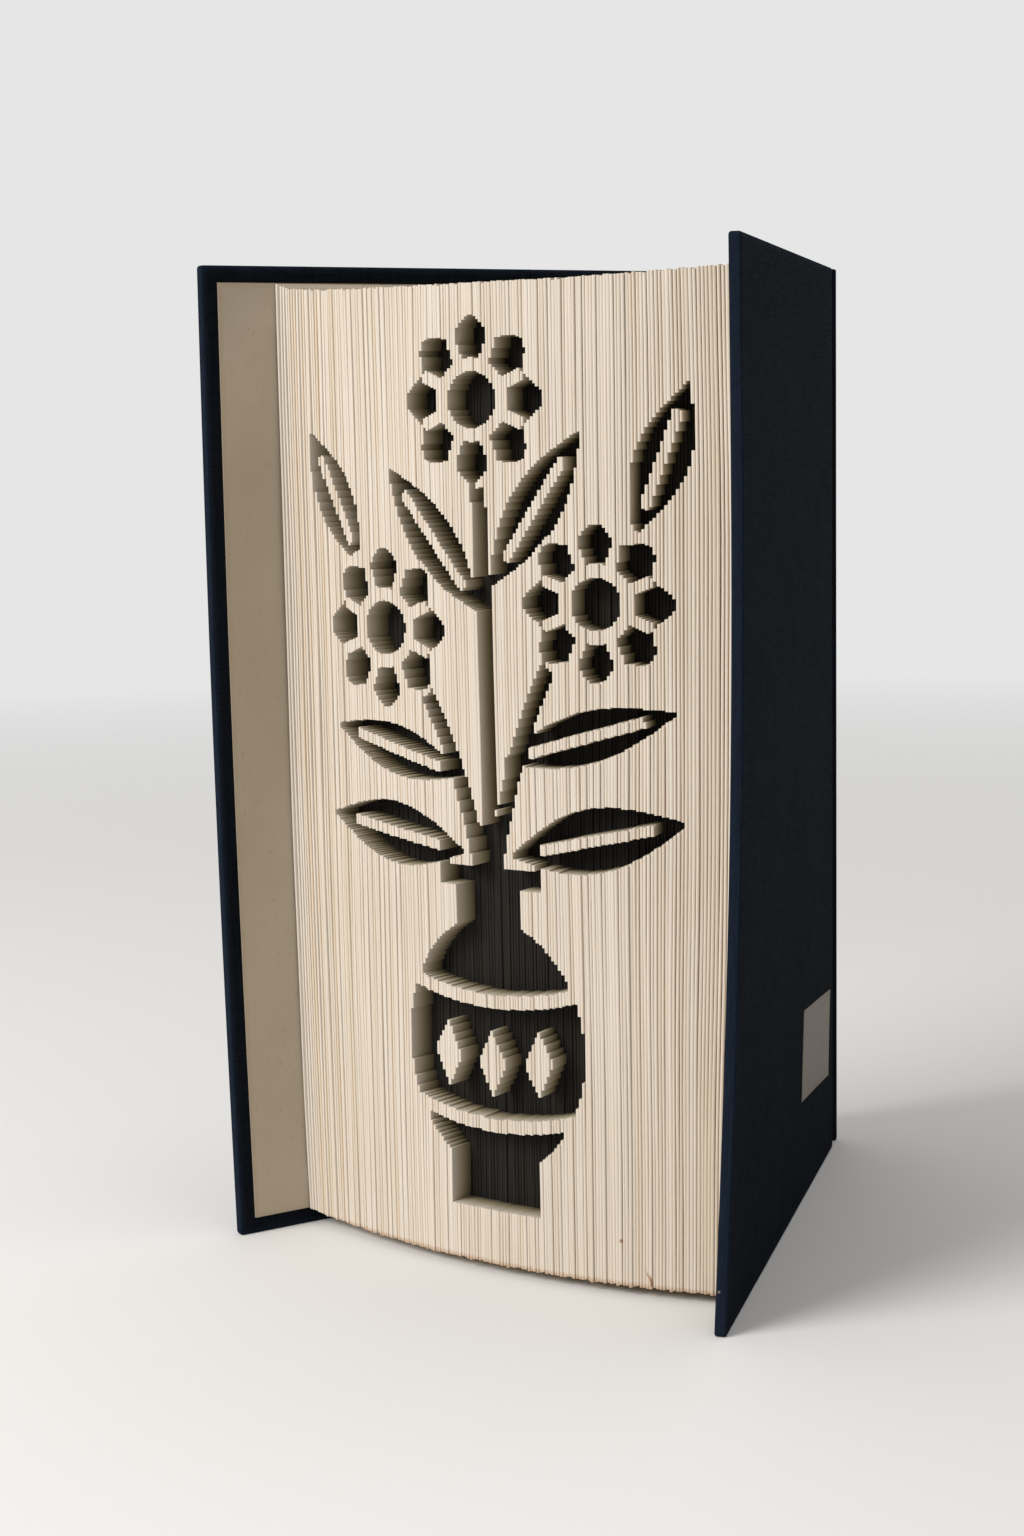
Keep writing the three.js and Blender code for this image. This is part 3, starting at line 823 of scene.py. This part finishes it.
def in_vase(u, v):
    x = (u - VASE["u"]) / VASE["half_width"]
    y = v - VASE["v"]
    side = abs(u - VASE["u"])
    body = x ** 2 + (y / VASE["half_height"]) ** 2 < 1
    foot = (y < 0) & (y > -VASE["foot_drop"]) & (side < VASE["foot_half"])
    neck = (y > 0) & (y < VASE["neck_rise"]) & (side < VASE["neck_half"])
    lip = (y > VASE["neck_rise"] - VASE["lip_height"]) & (y < VASE["neck_rise"]) & (side < VASE["lip_half"])
    level = y + VASE_SAG * (1 - x ** 2)
    on_line = np.zeros(len(v), bool)
    for at in VASE_LINES:
        on_line |= np.abs(level - at) < VASE_LINE_WIDTH / 2
    shift = u - VASE["u"] - LOZENGE["pitch"] * round((u - VASE["u"]) / LOZENGE["pitch"])
    on_lozenge = abs(shift) / LOZENGE["half_width"] + np.abs(level) / LOZENGE["half_height"] < 1
    return (body | foot | neck | lip) & ~on_line & ~(on_lozenge & (abs(x) < 0.75))


def on_stem(u, v, stem):
    inside = np.zeros(len(v), bool)
    start, bend, end = (np.array(point, float) for point in stem)
    for t in np.linspace(0, 1, 40):
        at = (1 - t) ** 2 * start + 2 * t * (1 - t) * bend + t ** 2 * end
        inside |= np.hypot(u - at[0], v - at[1]) < STEM_WIDTH / 2
    return inside


def cut_away(u, v):
    """Which of the points v on the line u belong to the cut design."""
    inside = np.zeros(len(v), bool)
    near_blossom = np.zeros(len(v), bool)
    for blossom in BLOSSOMS:
        near_blossom |= np.hypot(u - blossom[0], v - blossom[1]) < blossom[2] + 1
    for leaf in SPRAY_LEAVES:
        inside |= in_lens(u, v, leaf)
    for stem in STEMS:
        inside |= on_stem(u, v, stem)
    inside &= ~near_blossom
    for blossom in BLOSSOMS:
        inside |= in_blossom(u, v, blossom)
    return inside | in_vase(u, v)


def cuts_of(u):
    """Pairs of heights between which the leaf at u is cut back."""
    z = np.arange(PAGE_TAIL + 2, PAGE_HEAD - 2, SCAN_STEP)
    inside = cut_away(u, z - PAGE_MIDDLE).astype(int)
    change = np.flatnonzero(np.diff(inside))
    edges = [z[k] + SCAN_STEP / 2 for k in change]
    cuts = []
    for start, end in zip(edges[::2], edges[1::2]):
        if cuts and start - cuts[-1][1] < SHORTEST_CUT:
            cuts[-1][1] = end
        elif end - start > SHORTEST_CUT:
            cuts.append([start, end])
    return cuts


def leaf_ring(leaf, z, floor):
    """One level of a leaf in plan, anticlockwise from its sewn back."""
    root, direction, back = leaf["root"], leaf["direction"], leaf["back"]
    sideways = np.array((direction[1], -direction[0]))
    sway = sideways * leaf["sway"](z)
    front = LEAF_REACH + leaf["ripple"](z) - (RELIEF_DEPTH if floor else 0.0)
    half_front = leaf["half"] * (FLOOR_SHARE if floor else 1.0)
    nose = []
    for angle in np.linspace(0, math.pi, NOSE_STEPS):
        ahead = front - leaf["nose"] * (1 - math.sin(angle))
        nose.append(root + sway + direction * ahead + sideways * half_front * math.cos(angle))
    straight = LEAF_REACH - RELIEF_DEPTH - NOSE_MARGIN
    bend = root + sway * STRAIGHT_SWAY + direction * straight
    side_bend = sideways * leaf["half"] * straight / LEAF_LENGTH
    side_root = sideways * leaf["root_half"]
    ring = [back + side_root, root + side_root, bend + side_bend]
    ring += nose
    ring += [bend - side_bend, root - side_root, back - side_root]
    return [(x, y, z) for x, y in ring]


def one_leaf(leaf):
    """Vertices, faces, material numbers, painted side shade and painted gap shade of one folded leaf."""
    count = NOSE_STEPS + 2 * NOSE_FIRST
    nose = range(NOSE_FIRST, NOSE_FIRST + NOSE_STEPS)
    tail, head = leaf["tail"], leaf["head"]
    steps = int((head - tail) / LEVEL_SPACING)
    levels = [tail + (head - tail) * k / steps for k in range(steps + 1)]
    ends = (levels[0], levels[-1])
    cuts = cuts_of(leaf["u"])
    near = [z for z in levels[1:-1] if any(abs(z - edge) <= LEVEL_MARGIN for cut in cuts for edge in cut)]
    events = [(z, None) for z in levels if z not in near]
    for start, end in cuts:
        events += [(start, True), (end, False)]
    events.sort(key=lambda event: event[0])
    vertices, side_shade, gap_shade, faces, kinds = [], [], [], [], []
    shaded = bool(cuts) or not leaf["outermost"]

    def add_ring(z, floor, keep=None):
        """A level's points. Those outside the nose are taken from another ring where one is given."""
        ring = []
        for k, point in enumerate(leaf_ring(leaf, z, floor)):
            if keep is not None and k not in nose:
                ring.append(keep[k])
                continue
            ring.append(len(vertices))
            vertices.append(point)
            # Painted side shade: full behind the nose, and all round on the relief's floor.
            side_shade.append(1.0 if floor or (k not in nose and shaded and z not in ends) else 0.0)
            # Painted gap shade at the nose's two ends, where neighbouring leaves meet.
            gap_shade.append(leaf["gap_shade"] if k in (nose[0], nose[-1]) else 0.0)
        return ring

    def join(lower, upper, floor, sill=False):
        for k in range(count):
            after = (k + 1) % count
            quad = []
            for index in (lower[k], lower[after], upper[after], upper[k]):
                if index not in quad:
                    quad.append(index)
            if len(quad) < 3:
                continue
            faces.append(quad)
            if sill:
                kinds.append(SIDE)
            elif floor and nose[0] - 1 <= k <= nose[-1]:
                kinds.append(INKED)
            elif nose[0] <= k < nose[-1]:
                kinds.append(FRONT)
            else:
                kinds.append(SIDE)

    def cap(ring, flip):
        for part in ([0, 1, count - 2, count - 1], [1, 2, count - 3, count - 2], list(range(2, count - 2))):
            face = [ring[k] for k in part]
            faces.append(face[::-1] if flip else face)
            kinds.append(END)

    floor = False
    ring = None
    for z, change in events:
        here = add_ring(z, floor)
        if ring is None:
            cap(here, True)
        else:
            join(ring, here, floor)
        if change is not None:
            floor = change
            sill = add_ring(z, floor, here)
            join(here, sill, floor, True)
            here = sill
        ring = here
    cap(ring, False)
    return vertices, faces, kinds, side_shade, gap_shade


def faded(offset, index):
    size, leaves_to_fade = offset
    return size * math.exp(-index / leaves_to_fade)


def random_leaf(index, random):
    """Where a leaf lies, and how far it strays from an even fan."""
    share = (index + 0.5) / LEAF_COUNT
    root, direction = leaf_line(share)
    back_x = -BLOCK_HALF + 2 * BLOCK_HALF * share
    outermost = index in (0, LEAF_COUNT - 1)
    phase = random.uniform(0, 6.28, 3)
    loose = random.uniform(0, 1) ** 2
    proud = random.normal(0, 0.12) + faded(FIRST_REACH, index)
    tail = PAGE_TAIL + random.normal(0.1, 0.12) + faded(FIRST_TAIL_RISE, index)
    head = PAGE_HEAD - abs(random.normal(0, 0.2))
    head += faded(FIRST_HEAD_RISE, index) + faded(FIRST_LEAF_RISE, index)
    head += LAST_HEAD_RISE * max((index - LEAF_COUNT + LAST_RISING) / LAST_RISING, 0) ** 1.3
    own_sway = random.uniform(0.01, 0.035)
    tint = min(max(random.normal(0.22, 0.2), 0.0), 0.8)

    def sway(z):
        together = 0.22 * math.sin(z / 37 + index * 0.045) + 0.1 * math.sin(z / 15 + index * 0.12)
        follow = warp_at(-1, faded(FIRST_FOLLOW, index), z)
        follow -= warp_at(1, faded(LAST_FOLLOW, LEAF_COUNT - 1 - index), z)
        return follow + together + own_sway * math.sin(z / 9 + phase[0])

    def ripple(z):
        return proud + 0.07 * math.sin(z / 28 + phase[1]) + 0.04 * math.sin(z / 11 + phase[2])

    return dict(
        root=root, direction=direction, sway=sway, ripple=ripple, tail=tail, head=head, tint=tint,
        back=np.array((back_x, SPINE_CENTRE_Y + math.sqrt(BACK_RADIUS ** 2 - back_x ** 2))),
        u=(share - 0.5) * FRONT_LENGTH,
        half=(FRONT_LENGTH / LEAF_COUNT - 0.1 * loose) / 2,
        root_half=(RIGHT_ROOT - LEFT_ROOT) / LEAF_COUNT * 0.47,
        nose=0.12 + 0.18 * loose,
        # Strength of the painted gap shade: more for looser leaves, none for the outermost ones.
        gap_shade=0.0 if outermost else 0.15 + 0.85 * loose,
        outermost=outermost,
    )


def leaves(materials):
    """All the folded leaves, fanned from the sewn back, as one mesh of separate closed leaves."""
    random = np.random.default_rng(LEAF_SEED)
    vertices, faces, kinds, side_shade, gap_shade, tint = [], [], [], [], [], []
    for index in range(LEAF_COUNT):
        leaf = random_leaf(index, random)
        base = len(vertices)
        leaf_vertices, leaf_faces, leaf_kinds, leaf_side_shade, leaf_gap_shade = one_leaf(leaf)
        vertices += leaf_vertices
        faces += [[k + base for k in face] for face in leaf_faces]
        kinds += leaf_kinds
        side_shade += leaf_side_shade
        gap_shade += leaf_gap_shade
        tint += [leaf["tint"]] * len(leaf_vertices)
    mesh = bpy.data.meshes.new("folded_leaves")
    mesh.from_pydata([tuple(v) for v in row(np.array(vertices))], [], faces)
    obj = bpy.data.objects.new("folded_leaves", mesh)
    bpy.context.scene.collection.objects.link(obj)
    for item in materials:
        mesh.materials.append(item)
    mesh.polygons.foreach_set("material_index", kinds)
    mesh.polygons.foreach_set("use_smooth", [kind in (FRONT, INKED) for kind in kinds])
    # Painted shade on the leaf sides.
    add_values(obj, "side_shade", side_shade)
    # Painted shade in the gaps between the folded fronts.
    add_values(obj, "gap_shade", gap_shade)
    add_values(obj, "tint", tint)
    smooth_by_angle(obj, 60)
    return obj


# Camera, light and floor
def add_camera():
    camera = bpy.data.objects.new("camera", bpy.data.cameras.new("camera"))
    bpy.context.scene.collection.objects.link(camera)
    camera.data.sensor_width = SENSOR
    camera.data.lens = FOCAL_PIXELS / FRAME_HEIGHT * SENSOR
    camera.data.clip_start = 0.01
    camera.data.clip_end = 50
    place = row((HALF_CASE + CAMERA_FROM_ARRIS[0], CAMERA_FROM_ARRIS[1], CAMERA_FROM_ARRIS[2]))
    level = Matrix.Rotation(CAMERA_AZIMUTH, 4, "Z") @ Matrix.Rotation(math.pi / 2 - CAMERA_PITCH, 4, "X")
    camera.matrix_world = Matrix.Translation(place) @ level @ Matrix.Rotation(CAMERA_ROLL, 4, "Z")
    bpy.context.scene.camera = camera


def add_light(name, place, aim, size, power):
    light = bpy.data.lights.new(name, "AREA")
    light.shape = "DISK"
    light.size = size
    light.energy = power
    obj = bpy.data.objects.new(name, light)
    bpy.context.scene.collection.objects.link(obj)
    obj.location = place
    obj.rotation_euler = (Vector(aim) - Vector(place)).to_track_quat("-Z", "Y").to_euler()


def add_studio():
    world = bpy.data.worlds.new("studio")
    bpy.context.scene.world = world
    world.use_nodes = True
    nodes, links = world.node_tree.nodes, world.node_tree.links
    background = nodes["Background"]
    background.inputs["Color"].default_value = (1, 1, 1, 1)
    path = nodes.new("ShaderNodeLightPath")
    seen = path.outputs["Is Camera Ray"]
    for name in ("Is Glossy Ray", "Is Transmission Ray"):
        larger = nodes.new("ShaderNodeMath")
        larger.operation = "MAXIMUM"
        links.new(seen, larger.inputs[0])
        links.new(path.outputs[name], larger.inputs[1])
        seen = larger.outputs[0]
    strength = nodes.new("ShaderNodeMapRange")
    links.new(seen, strength.inputs["Value"])
    strength.inputs["To Min"].default_value = WORLD_LIGHT
    strength.inputs["To Max"].default_value = WORLD_SEEN
    links.new(strength.outputs["Result"], background.inputs["Strength"])
    for name, lamp in LAMPS.items():
        add_light(name, *lamp)
    bpy.ops.mesh.primitive_plane_add(size=12, location=(0, 0, 0))
    floor = bpy.context.object
    floor.name = "studio_floor"
    floor.data.materials.append(stage_material())


# Pieces, each on its body and in place of the nodes that it covers
def dress(obj, body, slot, *nodes):
    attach(obj, body)
    if nodes:
        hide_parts(*nodes)


add_camera()
add_studio()

cloth = book_cloth()
endpaper = pastedown_paper()
thread = band_thread()

for side, word in ((1, "right"), (-1, "left")):
    body = f"{word}_cover"
    slab = cover_slab(side, f"{word}_cover_case", cloth)
    dress(slab, body, "cover_cloth", f"{word}_cover_cloth", f"{word}_cover_board")
    dress(pastedown_sheet(side, f"{word}_endpaper", endpaper), body, "endpaper", f"{word}_pastedown")
    joint_cloth(side, f"{word}_joint_cloth", cloth)
    joint_paper(side, f"{word}_joint_paper", endpaper)

dress(label_sheet(label_paper()), "right_cover", "label_paper", "label")
dress(spine_case(cloth), "spine", "cover_cloth", "spine_cloth", "spine_inlay")
dress(sewn_band("head_band_wound", PAGE_HEAD, thread), "spine", "band_thread", "head_band")
dress(sewn_band("tail_band_wound", PAGE_TAIL - BAND_HEIGHT, thread), "spine", "band_thread", "tail_band")
leaf_materials = [leaf_paper("leaf_fronts", True), leaf_paper("leaf_sides", False), ink(), head_paper()]
dress(leaves(leaf_materials), "spine", "leaf_paper", "text_block")

lining = frame["nodes"]["spine_lining"]
lining.data.materials.clear()
lining.data.materials.append(kraft_lining())

bpy.context.scene.view_settings.view_transform = "Standard"
